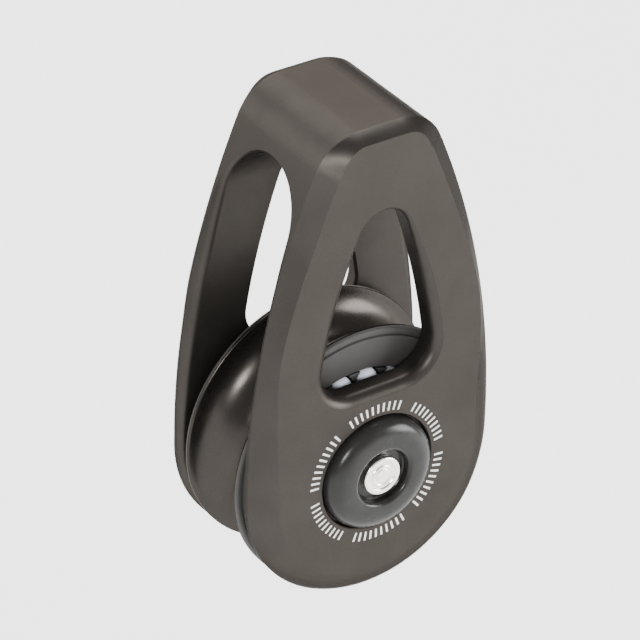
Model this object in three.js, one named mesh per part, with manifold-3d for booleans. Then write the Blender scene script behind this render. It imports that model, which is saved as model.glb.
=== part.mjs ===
// A single sheave block for 10 mm line: a one-piece frame of two cheeks and a crown, a sheave that
// turns on a composite bush, and a caged ring of side balls between the sheave and each cheek.
// Millimetres, +Z up to the crown, +X across the cheeks, the axle along Y. The pieces are drawn about
// the middle of the axle, and the whole block then hangs with its strop seat at the origin.

import * as THREE from 'three';
import { mergeVertices } from 'three/addons/utils/BufferGeometryUtils.js';
import Module from 'manifold-3d';

const wasm = await Module();
wasm.setup();

// Driving dimensions
const sheaveRadius = 20;
const sheaveHalfWidth = 6.6;
const lineRadius = 5;
const frameBottomRadius = 20;
const frameFaceY = 11.6;
const frameTopZ = 54.4;
const throatHalfWidth = 7.8;
const capProud = 1.9;
const pinHeadRadius = 3;
const ballDiameter = 3.175;
const ballsPerSide = 18;

// Running clearances and wall thicknesses
const runningGap = 0.1;
const seatGap = 0.3;
const fixedGap = 0.05;
const ballGap = 0.2;

// Roundness of the faceted solids
const turnSegments = 36;
const arcDivisions = 6;
const profileArcSteps = 6;

// Frame outline
const shoulderZ = 2;
const sideArcRadius = 120;
const sideArcX = sideArcRadius - frameBottomRadius;
const crownCornerRadius = 7.5;
const frameEdgeDepth = 2;
const frameEdgeInset = 1.7;
const crownThickness = 6.6;
const throatArchZ = frameTopZ - crownThickness - throatHalfWidth;

// Cheek windows: their sides run beside the frame's sides at a steady width of metal
const railWidth = 9.5;
const windowSillZ = 13.5;
const windowTopZ = 42;
const windowCornerRadius = 5;
const windowSideRadius = sideArcRadius - railWidth;

// A strop passes through both windows, and the block hangs from the tops of them.
const stropSeatZ = windowTopZ;

// Sheave rim and groove
const lipWidth = 1;
const lipChamfer = 0.4;
const grooveDepth = lineRadius + 0.4;
const hubRelief = 0.3;

// Hub
const capRadius = 8.75;
const capSeatRadius = capRadius + seatGap;
const capSeatY = 10.4;
const spigotRadius = 5.6;
const capCrestRadius = 5.4;
const capRecessRadius = 4.15;
const capRecessY = 12;
const capRimDrop = 0.2;
const capRecessDepth = 0.4;
const capRecessDraft = 0.1;
const capCrestY = frameFaceY + capProud;
const pinShankRadius = 2.5;
const pinEndY = 13.05;
const pinEndChamfer = 0.25;
const pinRingRadius = 2;
const pinRingWidth = 0.3;
const pinRingDepth = 0.2;
const sleeveRadius = 5;
const bushWall = 1.6;
const bushRadius = sleeveRadius + runningGap + bushWall;

// Side balls: they touch the cheek on one side and the bottom of the sheave's ball race on the other
const ballRadius = ballDiameter / 2;
const ballPitchRadius = 12.1;
const ballY = 5.95;
const ballPhase = THREE.MathUtils.degToRad(2.7);
const ballStep = (2 * Math.PI) / ballsPerSide;
const raceInnerRadius = 9.4;
const raceOuterRadius = 14;
const raceLipRadius = 13.8;
const raceFloorY = ballY - ballRadius - ballGap;
const raceCorner = 0.6;
const cageHalfThickness = 0.45;
const cageY = 6;
const cageInnerRadius = raceInnerRadius + ballGap;
const cageOuterRadius = raceLipRadius - seatGap;
const pocketRadius = ballRadius + ballGap;
const pocketSegments = 12;

const finishes = {
  anodised: { color: 0x55504a, roughness: 0.45, metalness: 0.75 },
  sheave: { color: 0x47423d, roughness: 0.35, metalness: 0.75 },
  cap: { color: 0x3a3633, roughness: 0.28, metalness: 0.6 },
  stainless: { color: 0xe6e3dc, roughness: 0.25, metalness: 1 },
  composite: { color: 0x7a5b3c, roughness: 0.7, metalness: 0 },
  nylon: { color: 0x1c1b1b, roughness: 0.55, metalness: 0 },
  acetal: { color: 0xe3e9ef, roughness: 0.3, metalness: 0 },
};

// Solids

function solidOf(geometry) {
  geometry.deleteAttribute('normal');
  geometry.deleteAttribute('uv');
  const merged = mergeVertices(geometry, 1e-4);
  const vertProperties = new Float32Array(merged.attributes.position.array);
  const triVerts = new Uint32Array(merged.index.array);
  return new wasm.Manifold(new wasm.Mesh({ numProp: 3, vertProperties, triVerts }));
}

function geometryOf(solid) {
  const mesh = solid.getMesh();
  const geometry = new THREE.BufferGeometry();
  geometry.setAttribute('position', new THREE.BufferAttribute(mesh.vertProperties, 3));
  geometry.setIndex(new THREE.BufferAttribute(mesh.triVerts, 1));
  geometry.computeVertexNormals();
  return geometry;
}

function meshOf(name, geometry, finish) {
  const mesh = new THREE.Mesh(geometry, new THREE.MeshStandardMaterial(finishes[finish]));
  mesh.name = name;
  return mesh;
}

// A shape drawn in X and Z, made into a plate along Y from lowY to highY.
function plateAlongY(shape, lowY, highY, bevel = {}) {
  const rim = bevel.bevelEnabled ? bevel.bevelThickness : 0;
  const options = { depth: highY - lowY - 2 * rim, curveSegments: arcDivisions, bevelEnabled: false };
  const geometry = new THREE.ExtrudeGeometry(shape, { ...options, ...bevel });
  geometry.translate(0, 0, rim - highY);
  return geometry.rotateX(Math.PI / 2);
}

// A closed profile of (radius, y) points, turned about the axle.
function turned(profile) {
  return new THREE.LatheGeometry([...profile, profile[0].clone()], turnSegments);
}

function ringProfile(innerRadius, outerRadius, lowY, highY) {
  return [
    new THREE.Vector2(innerRadius, lowY),
    new THREE.Vector2(outerRadius, lowY),
    new THREE.Vector2(outerRadius, highY),
    new THREE.Vector2(innerRadius, highY),
  ];
}

// The same profile for the other side of the block, its points in the order that faces outwards.
function mirrored(profile) {
  return profile.map((point) => new THREE.Vector2(point.x, -point.y)).reverse();
}

// Frame

function frameOutline() {
  const cornerZ = frameTopZ - crownCornerRadius;
  const reach = sideArcRadius - crownCornerRadius;
  const cornerX = Math.sqrt(reach ** 2 - (cornerZ - shoulderZ) ** 2) - sideArcX;
  const turn = Math.atan2(cornerZ - shoulderZ, cornerX + sideArcX);
  const outline = new THREE.Shape();
  outline.absarc(0, 0, frameBottomRadius, Math.PI, 1.5 * Math.PI);
  outline.absarc(0, 0, frameBottomRadius, 1.5 * Math.PI, 2 * Math.PI);
  outline.absarc(-sideArcX, shoulderZ, sideArcRadius, 0, turn);
  outline.absarc(cornerX, cornerZ, crownCornerRadius, turn, Math.PI / 2);
  outline.absarc(-cornerX, cornerZ, crownCornerRadius, Math.PI / 2, Math.PI - turn);
  outline.absarc(sideArcX, shoulderZ, sideArcRadius, Math.PI - turn, Math.PI);
  return outline;
}

function windowOutline() {
  const radius = windowSideRadius;
  const cornerZ = windowSillZ + windowCornerRadius;
  const cornerX = Math.sqrt((radius - windowCornerRadius) ** 2 - (cornerZ - shoulderZ) ** 2) - sideArcX;
  const rise = windowTopZ - shoulderZ;
  const apexRadius = (radius ** 2 - sideArcX ** 2 - rise ** 2) / (2 * (radius - rise));
  const apexZ = windowTopZ - apexRadius;
  const low = Math.atan2(cornerZ - shoulderZ, cornerX + sideArcX);
  const high = Math.atan2(apexZ - shoulderZ, sideArcX);
  const outline = new THREE.Shape();
  outline.absarc(cornerX, cornerZ, windowCornerRadius, 1.5 * Math.PI, 2 * Math.PI + low);
  outline.absarc(-sideArcX, shoulderZ, radius, low, high);
  outline.absarc(0, apexZ, apexRadius, high, Math.PI - high);
  outline.absarc(sideArcX, shoulderZ, radius, Math.PI - high, Math.PI - low);
  outline.absarc(-cornerX, cornerZ, windowCornerRadius, Math.PI - low, 1.5 * Math.PI);
  return outline;
}

// The throat is a slot along X, open at the bottom and round at the top, under the crown.
function throatTool() {
  const shape = new THREE.Shape();
  shape.moveTo(-throatHalfWidth, -2 * frameBottomRadius);
  shape.lineTo(throatHalfWidth, -2 * frameBottomRadius);
  shape.absarc(0, throatArchZ, throatHalfWidth, 0, Math.PI);
  const length = 3 * frameBottomRadius;
  const options = { depth: length, curveSegments: 2 * arcDivisions, bevelEnabled: false };
  const geometry = new THREE.ExtrudeGeometry(shape, options);
  geometry.translate(0, 0, -length / 2);
  return geometry.rotateX(Math.PI / 2).rotateZ(Math.PI / 2);
}

function boreTool(radius, lowY, highY) {
  const geometry = new THREE.CylinderGeometry(radius, radius, highY - lowY, turnSegments);
  return geometry.translate(0, (highY + lowY) / 2, 0);
}

function makeFrame() {
  const edge = {
    bevelEnabled: true,
    bevelThickness: frameEdgeDepth,
    bevelSize: frameEdgeInset,
    bevelOffset: -frameEdgeInset,
    bevelSegments: 3,
  };
  const reachY = 2 * frameFaceY;
  let body = solidOf(plateAlongY(frameOutline(), -frameFaceY, frameFaceY, edge));
  body = body.subtract(solidOf(throatTool()));
  body = body.subtract(solidOf(plateAlongY(windowOutline(), -reachY, reachY)));
  body = body.subtract(solidOf(boreTool(spigotRadius, -reachY, reachY)));
  body = body.subtract(solidOf(boreTool(capSeatRadius, capSeatY, reachY)));
  body = body.subtract(solidOf(boreTool(capSeatRadius, -reachY, -capSeatY)));
  return meshOf('frame', geometryOf(body), 'anodised');
}

// Sheave and its plain bearing

function grooveProfile() {
  const half = sheaveHalfWidth - lipWidth;
  const points = [];
  for (let step = 0; step <= 2 * profileArcSteps; step += 1) {
    const angle = (Math.PI * step) / (2 * profileArcSteps);
    const radius = sheaveRadius - grooveDepth * Math.sin(angle);
    points.push(new THREE.Vector2(radius, -half * Math.cos(angle)));
  }
  return points;
}

function sideRaceProfile(side) {
  const hubY = side * (sheaveHalfWidth - hubRelief);
  const faceY = side * sheaveHalfWidth;
  return [
    new THREE.Vector2(bushRadius, hubY),
    new THREE.Vector2(raceInnerRadius, hubY),
    new THREE.Vector2(raceInnerRadius, side * raceFloorY),
    new THREE.Vector2(raceOuterRadius - raceCorner, side * raceFloorY),
    new THREE.Vector2(raceOuterRadius, side * (raceFloorY + raceCorner)),
    new THREE.Vector2(raceOuterRadius, side * ballY),
    new THREE.Vector2(raceLipRadius, faceY),
    new THREE.Vector2(sheaveRadius - lipChamfer, faceY),
    new THREE.Vector2(sheaveRadius, side * (sheaveHalfWidth - lipChamfer)),
  ];
}

function makeSheave() {
  const profile = [...sideRaceProfile(-1), ...grooveProfile(), ...sideRaceProfile(1).reverse()];
  return meshOf('sheave', turned(profile), 'sheave');
}

function makeBush() {
  const half = sheaveHalfWidth - runningGap;
  const profile = ringProfile(sleeveRadius + runningGap, bushRadius - fixedGap, -half, half);
  return meshOf('composite_bush', turned(profile), 'composite');
}

// Axle

function makeSleeve() {
  const half = throatHalfWidth - fixedGap;
  const profile = ringProfile(pinShankRadius + runningGap, sleeveRadius, -half, half);
  return meshOf('axle_sleeve', turned(profile), 'stainless');
}

function pinHalfProfile() {
  const headY = capRecessY + fixedGap;
  const ringY = pinEndY - pinRingDepth;
  return [
    new THREE.Vector2(pinShankRadius, headY),
    new THREE.Vector2(pinHeadRadius, headY),
    new THREE.Vector2(pinHeadRadius, pinEndY - pinEndChamfer),
    new THREE.Vector2(pinHeadRadius - pinEndChamfer, pinEndY),
    new THREE.Vector2(pinRingRadius + pinRingWidth, pinEndY),
    new THREE.Vector2(pinRingRadius, ringY),
    new THREE.Vector2(pinRingRadius - pinRingWidth, pinEndY),
    new THREE.Vector2(0, pinEndY),
  ];
}

function makePin() {
  const front = pinHalfProfile();
  const profile = [...mirrored(front), ...front];
  return meshOf('axle_pin', new THREE.LatheGeometry(profile, turnSegments), 'stainless');
}

function capProfile() {
  const crest = capCrestY;
  const rimY = frameFaceY - capRimDrop;
  const points = [
    new THREE.Vector2(pinShankRadius + runningGap, throatHalfWidth),
    new THREE.Vector2(spigotRadius - fixedGap, throatHalfWidth),
    new THREE.Vector2(spigotRadius - fixedGap, capSeatY + fixedGap),
    new THREE.Vector2(capRadius, capSeatY + fixedGap),
  ];
  for (let step = 0; step <= profileArcSteps; step += 1) {
    const angle = (Math.PI * step) / (2 * profileArcSteps);
    const radius = capCrestRadius + (capRadius - capCrestRadius) * Math.cos(angle);
    points.push(new THREE.Vector2(radius, rimY + (crest - rimY) * Math.sin(angle)));
  }
  points.push(new THREE.Vector2(capRecessRadius, crest - capRecessDepth));
  points.push(new THREE.Vector2(capRecessRadius - capRecessDraft, capRecessY));
  points.push(new THREE.Vector2(pinShankRadius + runningGap, capRecessY));
  return points;
}

function makeCap(side, name) {
  const profile = side > 0 ? capProfile() : mirrored(capProfile());
  return meshOf(name, turned(profile), 'cap');
}

// Side balls and their cages

function ballPlace(side, index) {
  const angle = ballPhase + index * ballStep;
  return new THREE.Vector3(
    ballPitchRadius * Math.cos(angle),
    side * ballY,
    ballPitchRadius * Math.sin(angle),
  );
}

function makeBall(side, index, name) {
  const mesh = meshOf(name, new THREE.IcosahedronGeometry(ballRadius, 1), 'acetal');
  mesh.position.copy(ballPlace(side, index));
  return mesh;
}

function makeCage(side, name) {
  const shape = new THREE.Shape();
  shape.absarc(0, 0, cageOuterRadius, 0, 2 * Math.PI);
  const bore = new THREE.Path();
  bore.absarc(0, 0, cageInnerRadius, 0, 2 * Math.PI);
  shape.holes.push(bore);
  const low = side * cageY - cageHalfThickness;
  const high = side * cageY + cageHalfThickness;
  let cage = solidOf(plateAlongY(shape, low, high, { curveSegments: turnSegments / 2 }));
  for (let index = 0; index < ballsPerSide; index += 1) {
    const pocket = new THREE.CylinderGeometry(pocketRadius, pocketRadius, 4 * cageHalfThickness, pocketSegments);
    const place = ballPlace(side, index);
    pocket.translate(place.x, side * cageY, place.z);
    cage = cage.subtract(solidOf(pocket));
  }
  return meshOf(name, geometryOf(cage), 'nylon');
}

// Assembly

const block = new THREE.Group();
block.position.z = -stropSeatZ;
block.add(makeFrame());
block.add(makeSheave());
block.add(makeBush());
block.add(makeSleeve());
block.add(makePin());

const sides = [
  { word: 'front', side: -1 },
  { word: 'rear', side: 1 },
];

for (const { word, side } of sides) {
  block.add(makeCap(side, `${word}_hub_cap`));
  block.add(makeCage(side, `${word}_ball_cage`));
  for (let index = 0; index < ballsPerSide; index += 1) {
    const number = String(index + 1).padStart(2, '0');
    block.add(makeBall(side, index, `${word}_ball_${number}`));
  }
}

export default block;
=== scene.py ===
# %% [markdown]
# # A single sheave block
# The block is one machined frame with two cheeks, a sheave that runs on an axle between them, and
# a ring of white side balls at each cheek. The working model gives every place and size, and this
# lesson builds the fine surfaces around it, one piece at a time, with bmesh operators.

# %% Load the working model
import math

import bmesh
import bpy
from mathutils import Matrix, Vector


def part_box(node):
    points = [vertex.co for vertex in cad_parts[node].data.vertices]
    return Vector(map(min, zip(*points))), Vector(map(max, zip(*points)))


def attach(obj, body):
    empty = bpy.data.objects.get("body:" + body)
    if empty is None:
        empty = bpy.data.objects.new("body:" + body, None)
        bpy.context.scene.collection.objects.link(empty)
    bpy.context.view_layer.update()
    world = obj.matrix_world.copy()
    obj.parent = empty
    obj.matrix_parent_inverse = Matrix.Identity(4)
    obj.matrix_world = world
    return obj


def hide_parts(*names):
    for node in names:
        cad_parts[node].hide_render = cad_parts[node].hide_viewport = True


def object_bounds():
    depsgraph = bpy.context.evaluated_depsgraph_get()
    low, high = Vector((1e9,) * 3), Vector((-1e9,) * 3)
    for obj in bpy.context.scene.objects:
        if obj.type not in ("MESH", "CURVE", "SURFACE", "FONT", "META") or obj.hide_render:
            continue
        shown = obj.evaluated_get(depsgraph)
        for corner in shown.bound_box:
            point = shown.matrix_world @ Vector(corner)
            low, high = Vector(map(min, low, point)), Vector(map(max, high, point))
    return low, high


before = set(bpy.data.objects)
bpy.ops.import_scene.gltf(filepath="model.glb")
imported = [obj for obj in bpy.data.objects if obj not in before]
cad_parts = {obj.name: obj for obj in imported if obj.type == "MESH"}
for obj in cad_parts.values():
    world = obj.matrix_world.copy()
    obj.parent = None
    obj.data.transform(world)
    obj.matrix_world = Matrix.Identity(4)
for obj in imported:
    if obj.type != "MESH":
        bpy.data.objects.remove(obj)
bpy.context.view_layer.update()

# %% [markdown]
# ## Sizes
# A turned part is easiest to draw in millimetres about its own axle. So the few sizes that
# everything hangs on are read from the working model's boxes, and every piece is drawn about the
# middle of the axle and moved to its place at the end.

# %% Read the driving sizes, in millimetres about the axle
MM = 0.001


def size_of(node):
    """Lowest and highest corner of a node, in millimetres from the middle of the axle."""
    low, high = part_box(node)
    return (low - AXLE) / MM, (high - AXLE) / MM


AXLE = sum(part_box("axle_pin"), Vector()) / 2
_, frame_high = size_of("frame")
_, sheave_high = size_of("sheave")
_, cap_high = size_of("rear_hub_cap")
_, pin_high = size_of("axle_pin")
_, sleeve_high = size_of("axle_sleeve")
_, bush_high = size_of("composite_bush")
ball_low, ball_high = size_of("rear_ball_01")

CHEEK_FACE = frame_high.y
CHEEK_HALF_WIDTH = frame_high.x
CROWN_TOP = frame_high.z
SHEAVE_RADIUS = sheave_high.z
SHEAVE_FACE = sheave_high.y
SLEEVE_GAP = 0.05
THROAT = sleeve_high.y + SLEEVE_GAP
BALL_RADIUS = (ball_high.x - ball_low.x) / 2
BALL_CENTRE = (ball_low + ball_high) / 2
BALL_PITCH = math.hypot(BALL_CENTRE.x, BALL_CENTRE.z)
BALLS_PER_SIDE = sum(name.startswith("front_ball_") and name[-1].isdigit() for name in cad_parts)
print("sheave diameter", round(2 * SHEAVE_RADIUS, 2), "balls per side", BALLS_PER_SIDE)

# %% [markdown]
# ## Small helpers
# Outlines are walked like a pen on paper: a vertex is spun round a centre to draw an arc, or
# extruded to draw a straight line. Turned parts are a profile spun right round the axle.


# %% Draw outlines and profiles
def arc(bm, pen, centre, degrees, steps):
    """Spins the pen vertex round a centre in the XZ plane, anticlockwise seen from the front."""
    made = bmesh.ops.spin(
        bm,
        geom=[pen],
        cent=(centre[0], 0, centre[1]),
        axis=(0, -1, 0),
        angle=math.radians(degrees),
        steps=steps,
    )
    return next(part for part in made["geom_last"] if isinstance(part, bmesh.types.BMVert))


def line(bm, pen, x, z):
    """Extrudes the pen vertex to a new place and gives the new vertex."""
    made = bmesh.ops.extrude_vert_indiv(bm, verts=[pen])
    made["verts"][0].co = (x, 0, z)
    return made["verts"][0]


def turned(bm, profile, steps, closed=True):
    """Spins a profile of (radius, y) points right round the axle."""
    verts = [bm.verts.new((radius, y, 0)) for radius, y in profile]
    pairs = list(zip(verts, verts[1:]))
    if closed:
        pairs.append((verts[-1], verts[0]))
    edges = [bm.edges.new(pair) for pair in pairs]
    bmesh.ops.spin(
        bm,
        geom=verts + edges,
        cent=(0, 0, 0),
        axis=(0, 1, 0),
        angle=2 * math.pi,
        steps=steps,
        use_merge=True,
    )


def rounded(centre, radius, start, end, steps):
    """Points of a small arc in a profile, between two angles in degrees."""
    turn = (end - start) / steps
    angles = [math.radians(start + turn * step) for step in range(steps + 1)]
    return [(centre[0] + radius * math.cos(a), centre[1] + radius * math.sin(a)) for a in angles]


def mirrored(profile):
    """The same profile on the front side of the block."""
    return [(radius, -y) for radius, y in profile]


# %% [markdown]
# Every piece ends the same way. Doubled vertices where an arc meets its neighbour are merged, the
# normals are turned outwards after that, and only then are the sharp edges marked.

# %% Turn a bmesh into a finished piece
SMOOTH_BELOW = math.radians(32)
SEAM = 0.001
FINE_SEAM = 0.0005


def mesh_of(bm, name):
    """Closes the seams, turns the faces outwards and puts the mesh in its place in metres."""
    bmesh.ops.remove_doubles(bm, verts=bm.verts, dist=FINE_SEAM)
    bmesh.ops.recalc_face_normals(bm, faces=bm.faces)
    bmesh.ops.scale(bm, vec=(MM, MM, MM), verts=bm.verts)
    bmesh.ops.translate(bm, vec=AXLE, verts=bm.verts)
    mesh = bpy.data.meshes.new(name)
    bm.to_mesh(mesh)
    bm.free()
    mesh.shade_smooth()
    mesh.set_sharp_from_angle(angle=SMOOTH_BELOW)
    return mesh


def piece(mesh, name, material, body, slot, *nodes):
    """Shows a mesh as a piece that rides on a body and stands for its CAD nodes."""
    made = bpy.data.objects.new(name, mesh)
    bpy.context.scene.collection.objects.link(made)
    mesh.materials.append(material)
    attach(made, body)
    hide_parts(*nodes)
    print(name, len(mesh.polygons), "faces")
    return made


# %% [markdown]
# ## Finishes
# The frame and the sheave are aluminium, anodised a warm dark grey over a fine blasted grain, so
# they are metal with a soft sheen. A second, slower noise keeps the grey from looking printed.
# Each finish reads Object coordinates, so its grain sits in the metal and turns with the piece.


# %% Helpers for node trees
def new_material(name):
    material = bpy.data.materials.new(name)
    material.use_nodes = True
    nodes = material.node_tree.nodes
    return material, material.node_tree, nodes["Principled BSDF"]


def about_axle(tree):
    """Object coordinates in metres, moved so that they start at the middle of the axle."""
    place = tree.nodes.new("ShaderNodeTexCoord")
    shift = tree.nodes.new("ShaderNodeVectorMath")
    shift.operation = "SUBTRACT"
    shift.inputs[1].default_value = AXLE
    tree.links.new(place.outputs["Object"], shift.inputs[0])
    return shift.outputs["Vector"]


def x_y_z_about_axle(tree):
    parts = tree.nodes.new("ShaderNodeSeparateXYZ")
    tree.links.new(about_axle(tree), parts.inputs["Vector"])
    return parts.outputs["X"], parts.outputs["Y"], parts.outputs["Z"]


def object_noise(tree, scale, detail):
    """A noise on Object coordinates; its size is set by waves per metre."""
    place = tree.nodes.new("ShaderNodeTexCoord")
    noise = tree.nodes.new("ShaderNodeTexNoise")
    noise.inputs["Scale"].default_value = scale
    noise.inputs["Detail"].default_value = detail
    tree.links.new(place.outputs["Object"], noise.inputs["Vector"])
    return noise.outputs["Fac"]


def spread(tree, value, low, high):
    """Maps the middle of a noise to a range."""
    node = tree.nodes.new("ShaderNodeMapRange")
    node.inputs["From Min"].default_value = 0.3
    node.inputs["From Max"].default_value = 0.7
    node.inputs["To Min"].default_value = low
    node.inputs["To Max"].default_value = high
    tree.links.new(value, node.inputs["Value"])
    return node.outputs["Result"]


def set_or_link(tree, socket, value):
    if isinstance(value, bpy.types.NodeSocket):
        tree.links.new(value, socket)
    else:
        socket.default_value = value


def blend(tree, share, first, second, kind="RGBA"):
    """Blends from one colour or number to another, by a share."""
    node = tree.nodes.new("ShaderNodeMix")
    node.data_type = kind
    first_socket, result = (6, 2) if kind == "RGBA" else (2, 0)
    tree.links.new(share, node.inputs["Factor"])
    set_or_link(tree, node.inputs[first_socket], first)
    set_or_link(tree, node.inputs[first_socket + 1], second)
    return node.outputs[result]


def bump(tree, shader, height, strength, distance):
    node = tree.nodes.new("ShaderNodeBump")
    node.inputs["Strength"].default_value = strength
    node.inputs["Distance"].default_value = distance
    tree.links.new(height, node.inputs["Height"])
    tree.links.new(node.outputs["Normal"], shader.inputs["Normal"])


def maths(tree, operation, first, second=None, third=None):
    node = tree.nodes.new("ShaderNodeMath")
    node.operation = operation
    for socket, value in zip(node.inputs, (first, second, third)):
        if value is not None:
            set_or_link(tree, socket, value)
    return node.outputs[0]


# %% Anodised aluminium
METAL = 0.85
EDGE_TINT = (0.3, 0.28, 0.26, 1)
FINE_BUMP = 0.00002


def anodised(name, dark, light, roughness, grain, strength):
    """Gives the material, and what feeds its colour and its roughness, to build more on."""
    material, tree, shader = new_material(name)
    cloud = spread(tree, object_noise(tree, 120, 3), 0, 1)
    speck = spread(tree, object_noise(tree, grain, 2), 0, 1)
    tone = maths(tree, "MULTIPLY_ADD", speck, 0.5, maths(tree, "MULTIPLY", cloud, 0.5))
    colour = blend(tree, tone, dark, light)
    shine = spread(tree, object_noise(tree, 260, 4), roughness - 0.04, roughness + 0.04)
    shader.inputs["Specular Tint"].default_value = EDGE_TINT
    bump(tree, shader, object_noise(tree, grain, 3), strength, FINE_BUMP)
    return material, colour, shine


def patch(material, share, plain, other):
    """Sets colour, roughness and metal, with other values where the share is one."""
    tree = material.node_tree
    shader = tree.nodes["Principled BSDF"]
    for name, first, second in zip(("Base Color", "Roughness", "Metallic"), plain, other):
        kind = "RGBA" if name == "Base Color" else "FLOAT"
        tree.links.new(blend(tree, share, first, second, kind), shader.inputs[name])


# %% [markdown]
# The sheave's groove is polished, so a line runs easily in it, and its flanks are left dull from the
# blasting. One colour would make both look alike, so the flanks are picked out by how far they are
# from the middle of the sheave.

# %% Sheave metal with dull flanks
FLANK_FROM = 6.1
FLANK = ((0.05, 0.048, 0.046, 1), 0.6, 0.2)

sheave_metal, sheave_colour, sheave_shine = anodised(
    "sheave_metal", (0.03, 0.027, 0.0245, 1), (0.039, 0.035, 0.032, 1), 0.28, 6400, 0.03
)
_, along, _ = x_y_z_about_axle(sheave_metal.node_tree)
from_middle = maths(sheave_metal.node_tree, "ABSOLUTE", along)
flank = maths(sheave_metal.node_tree, "GREATER_THAN", from_middle, FLANK_FROM * MM)
patch(sheave_metal, flank, (sheave_colour, sheave_shine, METAL), FLANK)
print("finish:", sheave_metal.name, "dull beyond", FLANK_FROM, "mm")

# %% [markdown]
# The real front cheek has words marked by laser in a ring round the cap. A ring of plain ticks
# stands in for them: they are a finish and not a shape, so the ring is worked out in the colour.
# The distance from the axle bounds the ring, and the angle round the axle gives the ticks. Two tick
# places in every twelve are left empty, the way that gaps part the words.

# %% Frame metal with its ring of marks
MARK_INNER = 9.75
MARK_OUTER = 11.15
MARK_COUNT = 72
MARK_SHARE = 0.34
MARK_GROUP = 12
MARK_SKIP = 2
MARK_SINK = 0.05
MARK = ((0.62, 0.62, 0.6, 1), 0.7, 0.0)


def ring_of_marks(tree):
    """One on a tick of the front cheek, and nothing anywhere else."""
    across, along, height = x_y_z_about_axle(tree)
    squares = maths(tree, "MULTIPLY_ADD", across, across, maths(tree, "MULTIPLY", height, height))
    radius = maths(tree, "SQRT", squares)
    turns = maths(tree, "MULTIPLY", maths(tree, "ARCTAN2", height, across), MARK_COUNT / (2 * math.pi))
    group = maths(tree, "FRACT", maths(tree, "MULTIPLY", turns, 1 / MARK_GROUP))
    tests = (
        maths(tree, "GREATER_THAN", radius, MARK_INNER * MM),
        maths(tree, "LESS_THAN", radius, MARK_OUTER * MM),
        maths(tree, "LESS_THAN", along, (MARK_SINK - CHEEK_FACE) * MM),
        maths(tree, "LESS_THAN", maths(tree, "FRACT", turns), MARK_SHARE),
        maths(tree, "GREATER_THAN", group, MARK_SKIP / MARK_GROUP),
    )
    share = tests[0]
    for test in tests[1:]:
        share = maths(tree, "MULTIPLY", share, test)
    return share


frame_metal, frame_colour, frame_shine = anodised(
    "frame_metal", (0.0335, 0.0303, 0.027, 1), (0.043, 0.0388, 0.035, 1), 0.42, 5200, 0.12
)
marks = ring_of_marks(frame_metal.node_tree)
patch(frame_metal, marks, (frame_colour, frame_shine, METAL), MARK)
print("finish:", frame_metal.name, "with", MARK_COUNT, "tick places")

# %% [markdown]
# The pin's ends and the sleeve are turned stainless steel. A lathe leaves rings round the axle, so
# a ring wave about the axle gives both the faint change of colour and the fine bump.

# %% Stainless steel, turned
RINGS_PER_METRE = 1500


def ring_waves(tree, waves_per_metre):
    """Fine rings round the axle, as a lathe tool leaves them."""
    rings = tree.nodes.new("ShaderNodeTexWave")
    rings.wave_type = "RINGS"
    rings.rings_direction = "Y"
    rings.inputs["Scale"].default_value = waves_per_metre
    rings.inputs["Distortion"].default_value = 0.6
    tree.links.new(about_axle(tree), rings.inputs["Vector"])
    return rings.outputs["Fac"]


def stainless(name):
    material, tree, shader = new_material(name)
    rings = ring_waves(tree, RINGS_PER_METRE)
    colour = blend(tree, rings, (0.74, 0.72, 0.68, 1), (0.84, 0.82, 0.78, 1))
    tree.links.new(colour, shader.inputs["Base Color"])
    tree.links.new(spread(tree, object_noise(tree, 900, 3), 0.2, 0.32), shader.inputs["Roughness"])
    shader.inputs["Metallic"].default_value = 1.0
    bump(tree, shader, rings, 0.15, FINE_BUMP)
    return material


pin_steel = stainless("pin_steel")
print("finish:", pin_steel.name)

# %% [markdown]
# The caps, balls and cages are moulded or ground plastics and the bush is a fibre composite. They
# differ in colour, gloss and grain, so one function makes all four.

# %% Plastics
MOULD_BUMP = 0.00001


def plastic(name, dark, light, roughness, grain, strength):
    material, tree, shader = new_material(name)
    tone = spread(tree, object_noise(tree, grain / 8, 3), 0, 1)
    tree.links.new(blend(tree, tone, (*dark, 1), (*light, 1)), shader.inputs["Base Color"])
    shine = spread(tree, object_noise(tree, grain / 4, 3), roughness - 0.03, roughness + 0.03)
    tree.links.new(shine, shader.inputs["Roughness"])
    bump(tree, shader, object_noise(tree, grain, 2), strength, MOULD_BUMP)
    print("finish:", name)
    return material


cap_plastic = plastic("cap_plastic", (0.011, 0.0105, 0.01), (0.016, 0.0155, 0.015), 0.25, 2400, 0.02)
cap_shader = cap_plastic.node_tree.nodes["Principled BSDF"]
cap_shader.inputs["Specular IOR Level"].default_value = 0.2
ball_plastic = plastic("ball_plastic", (0.72, 0.77, 0.85), (0.8, 0.84, 0.9), 0.22, 1600, 0.02)
cage_plastic = plastic("cage_plastic", (0.03, 0.029, 0.028), (0.045, 0.044, 0.043), 0.5, 3000, 0.1)
bush_fibre = plastic("bush_fibre", (0.16, 0.09, 0.045), (0.24, 0.15, 0.08), 0.6, 2600, 0.3)

# %% [markdown]
# ## The frame
# The real frame is milled from one bar. Its outline is a half circle under the axle, two long
# shallow arcs up the sides and a short flat crown, so the pen walks that outline once. The cheeks
# are softened all round: their rim is a ridge near the middle of the cheek, with a bevel out to the
# flat face and a round in to the throat. A bevel operator would need one width along each edge, but
# these widths change on the way, so the bar is pulled out in steps that draw in as they go.

# %% Frame sizes
SHOULDER = 2.0
SIDE_ARC = 120.0
SIDE_CENTRE = SIDE_ARC - CHEEK_HALF_WIDTH
CROWN_CORNER = 7.5
RAIL = 9.6
SILL = 13.5
WINDOW_TOP = -AXLE.z / MM
WINDOW_CORNER = 5.0
CROWN_THICKNESS = 6.6
THROAT_ARCH = CROWN_TOP - CROWN_THICKNESS - THROAT
print("crown at", round(CROWN_TOP, 2), "and roof of the throat from", round(THROAT_ARCH, 2), "mm up")


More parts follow.
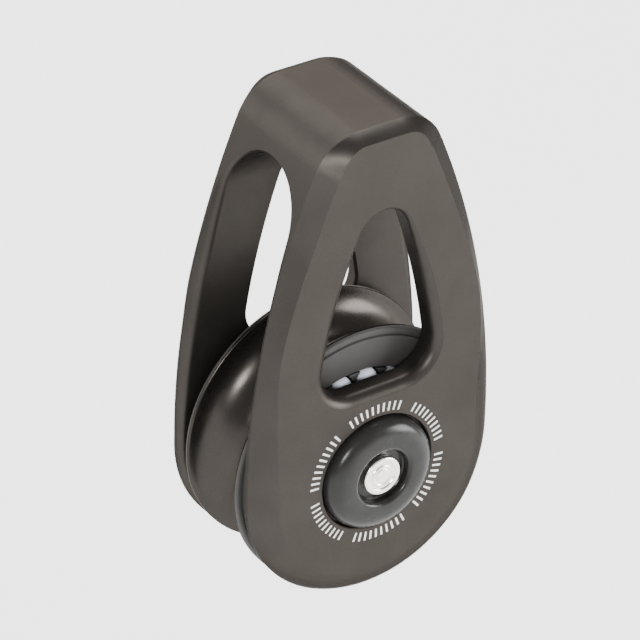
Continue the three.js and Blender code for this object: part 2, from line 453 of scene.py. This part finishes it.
# %% Walk the outlines
def fill_outline(bm):
    bmesh.ops.remove_doubles(bm, verts=bm.verts, dist=SEAM)
    return bmesh.ops.contextual_create(bm, geom=bm.edges[:])["faces"][0]


def frame_outline(bm):
    reach = SIDE_ARC - CROWN_CORNER
    corner_z = CROWN_TOP - CROWN_CORNER
    corner_x = math.sqrt(reach**2 - (corner_z - SHOULDER) ** 2) - SIDE_CENTRE
    climb = math.degrees(math.atan2(corner_z - SHOULDER, corner_x + SIDE_CENTRE))
    pen = bm.verts.new((-CHEEK_HALF_WIDTH, 0, 0))
    pen = arc(bm, pen, (0, 0), 180, 84)
    pen = line(bm, pen, CHEEK_HALF_WIDTH, SHOULDER)
    pen = arc(bm, pen, (-SIDE_CENTRE, SHOULDER), climb, 36)
    pen = arc(bm, pen, (corner_x, corner_z), 90 - climb, 14)
    pen = line(bm, pen, -corner_x, CROWN_TOP)
    pen = arc(bm, pen, (-corner_x, corner_z), 90 - climb, 14)
    arc(bm, pen, (SIDE_CENTRE, SHOULDER), climb, 36)
    return fill_outline(bm)


def window_outline(bm):
    radius = SIDE_ARC - RAIL
    rise = WINDOW_TOP - SHOULDER
    apex = (radius**2 - SIDE_CENTRE**2 - rise**2) / (2 * (radius - rise))
    corner_z = SILL + WINDOW_CORNER
    corner_x = math.sqrt((radius - WINDOW_CORNER) ** 2 - (corner_z - SHOULDER) ** 2) - SIDE_CENTRE
    low = math.degrees(math.atan2(corner_z - SHOULDER, corner_x + SIDE_CENTRE))
    high = math.degrees(math.atan2(WINDOW_TOP - apex - SHOULDER, SIDE_CENTRE))
    pen = bm.verts.new((-corner_x, 0, SILL))
    pen = line(bm, pen, corner_x, SILL)
    pen = arc(bm, pen, (corner_x, corner_z), 90 + low, 22)
    pen = arc(bm, pen, (-SIDE_CENTRE, SHOULDER), high - low, 16)
    pen = arc(bm, pen, (0, WINDOW_TOP - apex), 180 - 2 * high, 30)
    pen = arc(bm, pen, (SIDE_CENTRE, SHOULDER), high - low, 16)
    arc(bm, pen, (-corner_x, corner_z), 90 + low, 22)
    return fill_outline(bm)


# %% [markdown]
# A section says where one point of the outline goes, from its first place and the way out of the
# outline there. The face is moved to the first section and then extruded to each of the others, and
# the face left inside at each step is deleted, so that the solid stays hollow.

# %% Pull a face through a row of sections
def outline_keys(face, axis, middle):
    """For each vertex of a face: its place, and which way is out of the outline there."""
    loop = list(face.verts)
    keys = {}
    for behind, vert, ahead in zip(loop[-1:] + loop[:-1], loop, loop[1:] + loop[:1]):
        out = axis.cross((ahead.co - behind.co).normalized())
        if out.dot(vert.co - middle) < 0:
            out.negate()
        keys[vert] = (vert.co.copy(), out)
    return keys


def rounded_place(vert):
    return tuple(round(value, 4) for value in vert.co)


def pull_through(bm, face, keys, sections):
    """Moves a face to the first section, then extrudes it to each of the others in turn."""
    for count, section in enumerate(sections):
        if count:
            places = {rounded_place(vert): key for vert, key in keys.items()}
            made = bmesh.ops.extrude_face_region(bm, geom=[face], use_keep_orig=True)
            if count > 1:
                bmesh.ops.delete(bm, geom=[face], context="FACES_ONLY")
            face = next(part for part in made["geom"] if isinstance(part, bmesh.types.BMFace))
            keys = {vert: places[rounded_place(vert)] for vert in face.verts}
        for vert, (place, out) in keys.items():
            vert.co = section(place, out)
    bmesh.ops.recalc_face_normals(bm, faces=bm.faces)


def loose_object(bm, name):
    """A plain object in millimetres, used only to cut another."""
    bmesh.ops.recalc_face_normals(bm, faces=bm.faces)
    mesh = bpy.data.meshes.new(name)
    bm.to_mesh(mesh)
    bm.free()
    made = bpy.data.objects.new(name, mesh)
    bpy.context.scene.collection.objects.link(made)
    return made


# %% [markdown]
# The bevel is one smooth curve from the ridge to the flat. Low on the cheek it runs a long way in
# and melts into the face. Up the sides it is shorter and ends on a faint line, and over the crown
# it starts so softly that only its lower line shows.


# %% How the bevel changes
BEVEL_DEPTH = 2.2
BESIDE_AXLE_INSET = 4.0
BESIDE_AXLE_HANDLE = (1.8, 1.9)
UNDER_AXLE_INSET = 3.8
UNDER_AXLE_HANDLE = (1.0, 2.05)
WAIST_INSET = 1.6
SHOULDER_INSET = 2.5
CROWN_INSET = 1.3
CROWN_HANDLE_IN = 0.35
UP_THE_SIDE = (0, 26)
UP_THE_SHOULDER = (22, 46)
UNDER_THE_AXLE = (-2, 14)
INTO_THE_CROWN = (CROWN_TOP - 13, CROWN_TOP - 4)


def ease(value, start, end):
    """Goes smoothly from nothing at the start to one at the end."""
    share = min(max((value - start) / (end - start), 0), 1)
    return share * share * (3 - 2 * share)


def mix(first, second, share):
    return first + (second - first) * share


def bevel_point(place, share, bulge):
    """Inset and depth of the bevel, a share of the way from the ridge to the flat."""
    side = ease(place.z, *UP_THE_SIDE)
    under = ease(-place.z, *UNDER_THE_AXLE)
    over = ease(place.z - abs(place.x), *INTO_THE_CROWN)
    low_inset = mix(BESIDE_AXLE_INSET, UNDER_AXLE_INSET, under)
    side_inset = mix(WAIST_INSET, SHOULDER_INSET, ease(place.z, *UP_THE_SHOULDER))
    inset = mix(mix(low_inset, side_inset, side), CROWN_INSET, over)
    low_in, low_out = (mix(*pair, under) for pair in zip(BESIDE_AXLE_HANDLE, UNDER_AXLE_HANDLE))
    handle_in = mix(mix(low_in, inset / 2 - bulge, side), CROWN_HANDLE_IN, over)
    handle_out = mix(low_out, BEVEL_DEPTH / 2 + bulge, side)
    early, late = 2 * share * (1 - share), share * share
    return early * handle_in + late * inset, early * handle_out + late * BEVEL_DEPTH


# %% The bar with its bevelled faces
BEVEL_STEPS = 10
REAR_BULGE = 0.2
ALONG_AXLE = Vector((0, 1, 0))
ACROSS = Vector((1, 0, 0))


def bar_section(side, share, bulge):
    def section(place, out):
        inset, depth = bevel_point(place, share, bulge)
        y = side * (CHEEK_FACE - BEVEL_DEPTH + depth)
        return Vector((place.x, y, place.z)) - out * inset

    return section


bm = bmesh.new()
bar_face = frame_outline(bm)
bar_middle = Vector((0, 0, (CROWN_TOP - CHEEK_HALF_WIDTH) / 2))
shares = [step / BEVEL_STEPS for step in range(BEVEL_STEPS + 1)]
sections = [bar_section(-1, share, 0) for share in reversed(shares)]
sections += [bar_section(1, share, REAR_BULGE) for share in shares]
pull_through(bm, bar_face, outline_keys(bar_face, ALONG_AXLE, bar_middle), sections)
frame_bar = loose_object(bm, "frame_bar")
print("bar:", len(frame_bar.data.polygons), "faces")

# %% [markdown]
# The windows and the throat are cut with flared tools, like a cutter with rounded shoulders, so the
# cut leaves its own round edges. Each flare stops a few degrees short of the face, because two
# surfaces that only touch make a poor cut.

# %% Window cutter
FLARE_STEPS = 6
FLARE_FROM = 10.0
INNER_ROUND = 0.5
OUTER_ROUNDS = {-1: 1.6, 1: 2.8}
SMALL_ROUND = 0.55
ROUND_SHRINKS_FROM = 26


def flare(radius):
    """Offset and depth below the face, from the edge of a round down to the straight wall."""
    turn = (90 - FLARE_FROM) / FLARE_STEPS
    angles = [math.radians(FLARE_FROM + turn * step) for step in range(FLARE_STEPS + 1)]
    return [(radius * (1 - math.sin(a)), radius * (1 - math.cos(a))) for a in angles]


def wall_section(y, offset):
    return lambda place, out: Vector((place.x, y, place.z)) + out * offset


def outer_flare(side, offset, depth):
    """A round that grows from the top of a window to its sill; no depth means past the face."""

    def section(place, out):
        size = mix(OUTER_ROUNDS[side], SMALL_ROUND, ease(place.z, ROUND_SHRINKS_FROM, WINDOW_TOP))
        y = side * (2 * CHEEK_FACE if depth is None else CHEEK_FACE - depth * size)
        return Vector((place.x, y, place.z)) + out * offset * size

    return section


def window_cutter():
    outer = flare(1)
    inner = flare(INNER_ROUND)
    front = [outer_flare(-1, offset, depth) for offset, depth in outer]
    front += [wall_section(-THROAT - depth, offset) for offset, depth in reversed(inner)]
    rear = [wall_section(THROAT + depth, offset) for offset, depth in inner]
    rear += [outer_flare(1, offset, depth) for offset, depth in reversed(outer)]
    first, last = (outer_flare(side, outer[0][0], None) for side in (-1, 1))
    bm = bmesh.new()
    face = window_outline(bm)
    keys = outline_keys(face, ALONG_AXLE, Vector((0, 0, (SILL + WINDOW_TOP) / 2)))
    pull_through(bm, face, keys, [first, *front, *rear, last])
    return loose_object(bm, "window_cutter")


window_tool = window_cutter()
print("window tool:", len(window_tool.data.polygons), "faces")

# %% [markdown]
# The throat is the gap that the sheave and the line run in. Above the axle its cutter has a round
# roof and follows the sides of the frame, so that the inner edge of each cheek keeps an even round.
# Below the axle the gap is open all round, so a plain slot and a half ring do the same work.

# %% Throat cutters
NOSE = 1.7
LOW_NOSE = 0.65
HIGH_NOSE = 0.6
NOSE_GROWS = (2, 24)
NOSE_SHRINKS = (30, 44)
WALL_STEPS = 24
OVERRUN = 3
SLOT_OVERLAP = 0.2
RIM_OVERLAP = 0.5


def side_x(z):
    """Half the width of the outline at a height."""
    return math.sqrt(SIDE_ARC**2 - max(z - SHOULDER, 0) ** 2) - SIDE_CENTRE


def throat_section(side, inset, offset):
    def section(place, out):
        nose = mix(LOW_NOSE, 1, ease(place.z, *NOSE_GROWS))
        nose = mix(nose, HIGH_NOSE, ease(place.z, *NOSE_SHRINKS))
        x = side * (side_x(place.z) - inset * nose)
        return Vector((x, place.y, place.z)) + out * offset * nose

    return section


def throat_cutter():
    """The upper part of the throat: straight walls, a round roof, and both ends flared."""
    bm = bmesh.new()
    pen = bm.verts.new((THROAT, 0, 0))
    for step in range(1, WALL_STEPS + 1):
        pen = line(bm, pen, THROAT, THROAT_ARCH * step / WALL_STEPS)
    pen = arc(bm, pen, (0, THROAT_ARCH), 180, 56)
    for step in range(1, WALL_STEPS + 1):
        pen = line(bm, pen, -THROAT, THROAT_ARCH * (1 - step / WALL_STEPS))
    bmesh.ops.rotate(bm, cent=(0, 0, 0), matrix=Matrix.Rotation(math.pi / 2, 3, "Z"), verts=bm.verts)
    face = fill_outline(bm)
    keys = outline_keys(face, ACROSS, Vector((0, 0, THROAT_ARCH / 2)))
    for vert, (place, out) in keys.items():
        if place.z < SEAM:
            keys[vert] = (place, ALONG_AXLE * math.copysign(1, place.y))
    left = [throat_section(-1, depth, offset) for offset, depth in flare(NOSE)]
    right = [throat_section(1, depth, offset) for offset, depth in reversed(flare(NOSE))]
    first, last = (throat_section(side, -OVERRUN, flare(NOSE)[0][0]) for side in (-1, 1))
    pull_through(bm, face, keys, [first, *left, *right, last])
    return loose_object(bm, "throat_cutter")


def slot_cutter():
    """The lower part of the throat, a plain slot between the cheeks."""
    bm = bmesh.new()
    bmesh.ops.create_cube(bm, size=1)
    bmesh.ops.scale(bm, vec=(4 * CHEEK_HALF_WIDTH, 2 * THROAT, 2 * CHEEK_HALF_WIDTH), verts=bm.verts)
    bmesh.ops.translate(bm, vec=(0, 0, SLOT_OVERLAP - CHEEK_HALF_WIDTH), verts=bm.verts)
    return loose_object(bm, "slot_cutter")


def rim_cutter(side):
    """A half ring that rounds the inner edge of a cheek below the axle."""
    low = flare(NOSE * LOW_NOSE)
    outside = CHEEK_HALF_WIDTH + OVERRUN
    points = [(outside, THROAT + low[0][0])]
    points += [(CHEEK_HALF_WIDTH - depth, THROAT + offset) for offset, depth in low]
    points += [(points[-1][0], THROAT - RIM_OVERLAP), (outside, THROAT - RIM_OVERLAP)]
    bm = bmesh.new()
    face = bm.faces.new([bm.verts.new((radius, side * y, 0)) for radius, y in points])
    bmesh.ops.spin(bm, geom=[face], cent=(0, 0, 0), axis=(0, 1, 0), angle=math.pi, steps=84)
    bmesh.ops.remove_doubles(bm, verts=bm.verts, dist=SEAM)
    return loose_object(bm, "rim_cutter")


throat_tools = [slot_cutter(), throat_cutter(), rim_cutter(1), rim_cutter(-1)]
print("throat tools:", [len(tool.data.polygons) for tool in throat_tools], "faces")

# %% [markdown]
# Each hub cap sits in a counterbore, with a spigot in a bore right through the cheek. Both are
# turned shapes, so their cutters are profiles spun round the axle.

# %% Bore and cap seats
CAP_RADIUS = cap_high.x
CAP_GAP = 0.3
CAP_HEIGHT = 3.1
CAP_SEAT_RADIUS = CAP_RADIUS + CAP_GAP
CAP_SEAT = cap_high.y - CAP_HEIGHT
SEAT_BREAK = 0.15
SPIGOT_RADIUS = 5.6


def bore_cutter(profile, name):
    bm = bmesh.new()
    turned(bm, profile, 96, closed=False)
    bmesh.ops.remove_doubles(bm, verts=bm.verts, dist=SEAM)
    return loose_object(bm, name)


def seat_profile():
    """The counterbore that a cap sits in, with its edge broken."""
    broken = CAP_SEAT_RADIUS + SEAT_BREAK
    top = 2 * CHEEK_FACE
    points = [(0, CAP_SEAT), (CAP_SEAT_RADIUS, CAP_SEAT), (CAP_SEAT_RADIUS, CHEEK_FACE - SEAT_BREAK)]
    return points + [(broken, CHEEK_FACE), (broken, top), (0, top)]


far = 2 * CHEEK_FACE
bore = [(0, -far), (SPIGOT_RADIUS, -far), (SPIGOT_RADIUS, far), (0, far)]
hub_tools = [bore_cutter(bore, "bore"), bore_cutter(seat_profile(), "rear_seat")]
hub_tools.append(bore_cutter(mirrored(seat_profile()), "front_seat"))
print("hub tools:", [tool.name for tool in hub_tools])

# %% [markdown]
# The cuts are Boolean modifiers with the exact solver, applied by taking the evaluated mesh. They
# leave slivers where two cuts meet, so near vertices are merged before the normals are set, and
# weighted normals keep the flats flat beside their rounds.

# %% Cut the frame
CUT_SEAM = 0.004
SLIVER = 0.002


def cut(target, cutters):
    """Takes the cutters out of the target, one after the other, and gives the mesh that is left."""
    for cutter in cutters:
        modifier = target.modifiers.new("cut", "BOOLEAN")
        modifier.operation = "DIFFERENCE"
        modifier.solver = "EXACT"
        modifier.object = cutter
    graph = bpy.context.evaluated_depsgraph_get()
    mesh = bpy.data.meshes.new_from_object(target.evaluated_get(graph))
    for used in [target, *cutters]:
        bpy.data.objects.remove(used)
    return mesh


bm = bmesh.new()
bm.from_mesh(cut(frame_bar, [*throat_tools, window_tool, *hub_tools]))
bmesh.ops.remove_doubles(bm, verts=bm.verts, dist=CUT_SEAM)
bmesh.ops.dissolve_degenerate(bm, edges=bm.edges, dist=SLIVER)
open_edges = sum(not edge.is_manifold for edge in bm.edges)
print("frame:", len(bm.faces), "faces,", open_edges, "open edges")
frame_mesh = mesh_of(bm, "frame_body")
frame_piece = piece(frame_mesh, "frame_body", frame_metal, "block_frame", "anodised_frame", "frame")
weighted = frame_piece.modifiers.new("even_shading", "WEIGHTED_NORMAL")
weighted.keep_sharp = True

# %% [markdown]
# ## The sheave
# A sheave is a turned part, so its section is drawn once and spun round the axle: a hub for the
# bush, a side race for the balls, a flat flank, a rolled rim and the round groove for the line.

# %% Sheave
RACE_INNER = 9.4
RACE_LIP = 13.8
RACE_SLACK = 0.15
RACE_CORNER = 0.6
BALL_TO_FLOOR = 0.1
GROOVE_DEPTH = 5.4
GROOVE_STEPS = 14
LIP_WIDTH = 1.0
LIP_ROUND = 0.2
RIM_ROUND = 0.45
HUB_RELIEF = 0.3
BUSH_GAP = 0.05


def sheave_half():
    """The rear half of the section, from the groove's bottom out to the hub."""
    face = SHEAVE_FACE
    rim = SHEAVE_RADIUS
    lip = rim - LIP_ROUND
    wall = RACE_LIP + RACE_SLACK
    low_face = face - HUB_RELIEF
    groove_half = face - LIP_WIDTH
    floor = BALL_CENTRE.y - BALL_RADIUS - BALL_TO_FLOOR
    points = []
    for step in range(GROOVE_STEPS + 1):
        angle = math.pi / 2 * step / GROOVE_STEPS
        depth = (GROOVE_DEPTH - LIP_ROUND) * math.cos(angle)
        points.append((lip - depth, groove_half * math.sin(angle)))
    points += rounded((lip, groove_half + LIP_ROUND), LIP_ROUND, -60, 90, 4)
    points += rounded((rim - RIM_ROUND, face - RIM_ROUND), RIM_ROUND, 0, 90, 5)
    # A shallow line is turned into the flank just inside the rim.
    points += [(rim - 0.75, face), (rim - 0.9, low_face), (rim - 1.25, low_face), (rim - 1.4, face)]
    points += rounded((RACE_LIP + 0.25, face - 0.25), 0.25, 90, 180, 4)
    points += [(wall, BALL_CENTRE.y), (wall, floor + RACE_CORNER)]
    points += rounded((wall - RACE_CORNER, floor + RACE_CORNER), RACE_CORNER, 0, -90, 4)
    points += [(RACE_INNER, floor), (RACE_INNER, low_face - 0.2), (RACE_INNER - 0.2, low_face)]
    points += [(bush_high.x + BUSH_GAP + 0.2, low_face), (bush_high.x + BUSH_GAP, low_face - 0.2)]
    return points


half = sheave_half()
bm = bmesh.new()
turned(bm, half + mirrored(half[1:])[::-1], 160)
sheave_mesh = mesh_of(bm, "sheave_wheel_body")
piece(sheave_mesh, "sheave_wheel_body", sheave_metal, "sheave_wheel", "anodised_sheave", "sheave")

# %% [markdown]
# Inside the sheave, a dark bush turns with it on a steel sleeve that stays with the frame. Both are
# plain rings with their edges broken, so one short profile serves for both.

# %% Bush and axle sleeve
SLEEVE_BORE = 2.6
BUSH_EDGE = 0.15
SLEEVE_EDGE = 0.2
RUNNING_GAP = 0.1


def ring_with_breaks(inner, outer, half_length, edge):
    return [
        (inner + edge, half_length),
        (inner, half_length - edge),
        (inner, edge - half_length),
        (inner + edge, -half_length),
        (outer - edge, -half_length),
        (outer, edge - half_length),
        (outer, half_length - edge),
        (outer - edge, half_length),
    ]


bush_ring = ring_with_breaks(sleeve_high.x + RUNNING_GAP, bush_high.x, bush_high.y, BUSH_EDGE)
bm = bmesh.new()
turned(bm, bush_ring, 96)
piece(mesh_of(bm, "bush"), "bush", bush_fibre, "sheave_wheel", "bush_composite", "composite_bush")
sleeve_ring = ring_with_breaks(SLEEVE_BORE, sleeve_high.x, sleeve_high.y, SLEEVE_EDGE)
bm = bmesh.new()
turned(bm, sleeve_ring, 96)
piece(mesh_of(bm, "sleeve"), "sleeve", pin_steel, "block_frame", "stainless", "axle_sleeve")

# %% [markdown]
# ## Hub caps and the axle pin
# Each cap is a ring with a domed top and a deep recess for the pin's head. The head is set down in
# the recess and keeps the rings that the rivet tool pressed into it.

# %% Hub caps
CREST = cap_high.y
CREST_RADIUS = 5.6
CAP_BORE = 2.6
CAP_FOOT = CHEEK_FACE - 0.35
CAP_FIT = 0.05
CAP_EDGE = 0.2
DOME_STEPS = 16
RECESS_RADIUS = 4.15
RECESS_FLOOR = 12.0
RECESS_ROUND = 0.7


def cap_profile():
    """A spigot, the seated flange, a dome a little fuller than an ellipse, and the recess."""
    neck = SPIGOT_RADIUS - CAP_FIT
    seat = CAP_SEAT + CAP_FIT
    points = [(CAP_BORE, THROAT), (neck, THROAT), (neck, seat)]
    points += [(CAP_RADIUS - CAP_EDGE, seat), (CAP_RADIUS, seat + CAP_EDGE)]
    for step in range(DOME_STEPS + 1):
        angle = math.pi / 2 * step / DOME_STEPS
        radius = CREST_RADIUS + (CAP_RADIUS - CREST_RADIUS) * math.cos(angle) ** 0.8
        points.append((radius, CAP_FOOT + (CREST - CAP_FOOT) * math.sin(angle) ** 0.9))
    points += rounded((RECESS_RADIUS + RECESS_ROUND, CREST - RECESS_ROUND), RECESS_ROUND, 90, 180, 6)
    points += [(RECESS_RADIUS - 0.05, RECESS_FLOOR + 0.2), (RECESS_RADIUS - 0.25, RECESS_FLOOR)]
    return points + [(CAP_BORE, RECESS_FLOOR)]


def make_cap(word, profile):
    bm = bmesh.new()
    turned(bm, profile, 128)
    name = f"{word}_cap"
    piece(mesh_of(bm, name), name, cap_plastic, "block_frame", "hub_cap", f"{word}_hub_cap")


make_cap("rear", cap_profile())
make_cap("front", mirrored(cap_profile()))

# %% Axle pin
PIN_END = pin_high.y
PIN_RADIUS = pin_high.x
SHANK_RADIUS = 2.5
HEAD_UNDER = RECESS_FLOOR + 0.05
HEAD_EDGE = 0.1
HEAD_ROUND = 0.3
HEAD_RINGS = [
    (2.2, 0),
    (2.1, 0.06),
    (2.0, 0.2),
    (1.9, 0.22),
    (1.78, 0.2),
    (1.68, 0.08),
    (1.6, 0.04),
    (1.4, 0.03),
    (1.32, 0.08),
    (1.22, 0.1),
    (1.12, 0.06),
    (1.0, 0.02),
    (0.5, 0),
    (0, 0),
]


def pin_half():
    """The rear half of the pin: its shank, then its head with the pressed rings."""
    points = [(SHANK_RADIUS, HEAD_UNDER), (PIN_RADIUS - HEAD_EDGE, HEAD_UNDER)]
    points += rounded((PIN_RADIUS - HEAD_ROUND, PIN_END - HEAD_ROUND), HEAD_ROUND, 0, 90, 5)
    return points + [(radius, PIN_END - depth) for radius, depth in HEAD_RINGS]


half = pin_half()
bm = bmesh.new()
turned(bm, mirrored(half)[::-1] + half, 96, closed=False)
piece(mesh_of(bm, "pin"), "pin", pin_steel, "block_frame", "stainless", "axle_pin")

# %% [markdown]
# ## Side balls and their cages
# The balls are spheres with a fine, even mesh. Each one stands for its own node, so its place is
# the middle of that node's box.

# %% Balls
BALL_NUMBERS = [f"{number:02d}" for number in range(1, BALLS_PER_SIDE + 1)]


def centre_of(node):
    return sum(size_of(node), Vector()) / 2


def make_ball(node, body):
    bm = bmesh.new()
    bmesh.ops.create_icosphere(bm, subdivisions=4, radius=BALL_RADIUS)
    bmesh.ops.translate(bm, vec=centre_of(node), verts=bm.verts)
    name = f"{node}_sphere"
    piece(mesh_of(bm, name), name, ball_plastic, body, "ball_acetal", node)


for word in ("front", "rear"):
    for number in BALL_NUMBERS:
        make_ball(f"{word}_ball_{number}", f"{word}_ball_set")

# %% [markdown]
# A cage keeps the balls apart. It is a flat ring with a pocket cut through it round each ball, and
# the pockets stand at the same angles as the balls of the working model.

# %% Cages
CAGE_BORE = RACE_INNER + 0.2
CAGE_EDGE = 0.12
POCKET_RADIUS = 1.9
POCKET_DEPTH = 4


def cage_ring(word, low, high):
    inner = CAGE_BORE
    outer = high.x
    edge = CAGE_EDGE
    profile = [(inner + edge, high.y), (inner, high.y - edge), (inner, low.y + edge), (inner + edge, low.y)]
    profile += [(outer - edge, low.y), (outer, low.y + edge), (outer, high.y - edge), (outer - edge, high.y)]
    bm = bmesh.new()
    turned(bm, profile, 144)
    bmesh.ops.remove_doubles(bm, verts=bm.verts, dist=SEAM)
    return loose_object(bm, f"{word}_ring")


def make_cage(word):
    node = f"{word}_ball_cage"
    low, high = size_of(node)
    ring = cage_ring(word, low, high)
    turn = Matrix.Rotation(math.pi / 2, 4, "X")
    bm = bmesh.new()
    for number in BALL_NUMBERS:
        ball = centre_of(f"{word}_ball_{number}")
        angle = math.atan2(ball.z, ball.x)
        middle = Vector((BALL_PITCH * math.cos(angle), (low.y + high.y) / 2, BALL_PITCH * math.sin(angle)))
        bmesh.ops.create_cone(
            bm,
            cap_ends=True,
            segments=40,
            radius1=POCKET_RADIUS,
            radius2=POCKET_RADIUS,
            depth=POCKET_DEPTH,
            matrix=Matrix.Translation(middle) @ turn,
        )
    mesh = cut(ring, [loose_object(bm, f"{word}_pockets")])
    bm = bmesh.new()
    bm.from_mesh(mesh)
    name = f"{word}_cage"
    piece(mesh_of(bm, name), name, cage_plastic, f"{word}_ball_set", "cage_nylon", node)


make_cage("front")
make_cage("rear")

# %% [markdown]
# ## Studio
# The camera stands where a person holding the block in one hand would look at it from, a little
# above and to the left, with a long lens and a slight roll. Its aim is given across and up the view
# from the middle of the axle.

# %% Camera
AZIMUTH = math.radians(-34.68)
ELEVATION = math.radians(32.465)
ROLL = math.radians(1.45)
DISTANCE = 0.6
SENSOR = 36
LENS = 240.4
AIM = Vector((-1.438, 15.701)) * MM

back = Vector(
    (
        math.sin(AZIMUTH) * math.cos(ELEVATION),
        -math.cos(AZIMUTH) * math.cos(ELEVATION),
        math.sin(ELEVATION),
    )
)
level = Vector((math.cos(AZIMUTH), math.sin(AZIMUTH), 0))
rise = back.cross(level)
right = level * math.cos(ROLL) + rise * math.sin(ROLL)
up = rise * math.cos(ROLL) - level * math.sin(ROLL)
camera_data = bpy.data.cameras.new("camera")
camera_data.lens = LENS
camera_data.sensor_width = SENSOR
camera_data.clip_start = 0.01
camera_data.clip_end = 20
camera = bpy.data.objects.new("camera", camera_data)
bpy.context.scene.collection.objects.link(camera)
turn = Matrix((right, up, back)).transposed().to_4x4()
camera.matrix_world = Matrix.Translation(AXLE + back * DISTANCE + right * AIM.x + up * AIM.y) @ turn
bpy.context.scene.camera = camera
print("camera", DISTANCE, "m from the axle, with a lens of", LENS, "mm")

# %% [markdown]
# The block hangs over a pale floor that glows a little, so that the ground behind it stays almost
# white. A wide light behind and one at the left make the soft sheen on the cheeks, a top light
# picks out the crown, and two small ones in front draw the bright edges.

# %% Floor and world
FLOOR_SIZE = 3
FLOOR_DROP = 0.16
FLOOR_GLOW = 0.9
WORLD_STRENGTH = 0.7

bm = bmesh.new()
bmesh.ops.create_grid(bm, x_segments=2, y_segments=2, size=FLOOR_SIZE)
bmesh.ops.translate(bm, vec=(0, 0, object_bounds()[0].z - FLOOR_DROP), verts=bm.verts)
floor_mesh = bpy.data.meshes.new("floor")
bm.to_mesh(floor_mesh)
bm.free()
floor = bpy.data.objects.new("floor", floor_mesh)
bpy.context.scene.collection.objects.link(floor)
floor_paint, _, floor_shader = new_material("floor_paint")
floor_shader.inputs["Base Color"].default_value = (0.9, 0.9, 0.9, 1)
floor_shader.inputs["Roughness"].default_value = 0.9
floor_shader.inputs["Emission Color"].default_value = (1, 1, 1, 1)
floor_shader.inputs["Emission Strength"].default_value = FLOOR_GLOW
floor_mesh.materials.append(floor_paint)

world = bpy.data.worlds.new("studio")
world.use_nodes = True
world.node_tree.nodes["Background"].inputs["Color"].default_value = (1, 1, 1, 1)
world.node_tree.nodes["Background"].inputs["Strength"].default_value = WORLD_STRENGTH
bpy.context.scene.world = world
print("floor", round((AXLE.z - floor_mesh.vertices[0].co.z) / MM, 1), "mm under the axle")


# %% Lights
def soft_light(name, place, size, power):
    data = bpy.data.lights.new(name, "AREA")
    data.shape = "SQUARE"
    data.size = size
    data.energy = power
    light = bpy.data.objects.new(name, data)
    light.location = place
    light.rotation_mode = "QUATERNION"
    light.rotation_quaternion = Vector(place).to_track_quat("Z", "Y")
    bpy.context.scene.collection.objects.link(light)
    print(name, power, "W")


soft_light("back_light", (0.35, 0.9, 0.85), 1.4, 30)
soft_light("top_light", (0.45, 0.25, 1.2), 0.6, 8)
soft_light("left_light", (-0.95, 1.05, 0.55), 1.1, 17)
soft_light("right_light", (0.6, -0.48, 0.06), 0.35, 9)
soft_light("front_light", (-0.8, -0.95, 0.45), 0.3, 14)
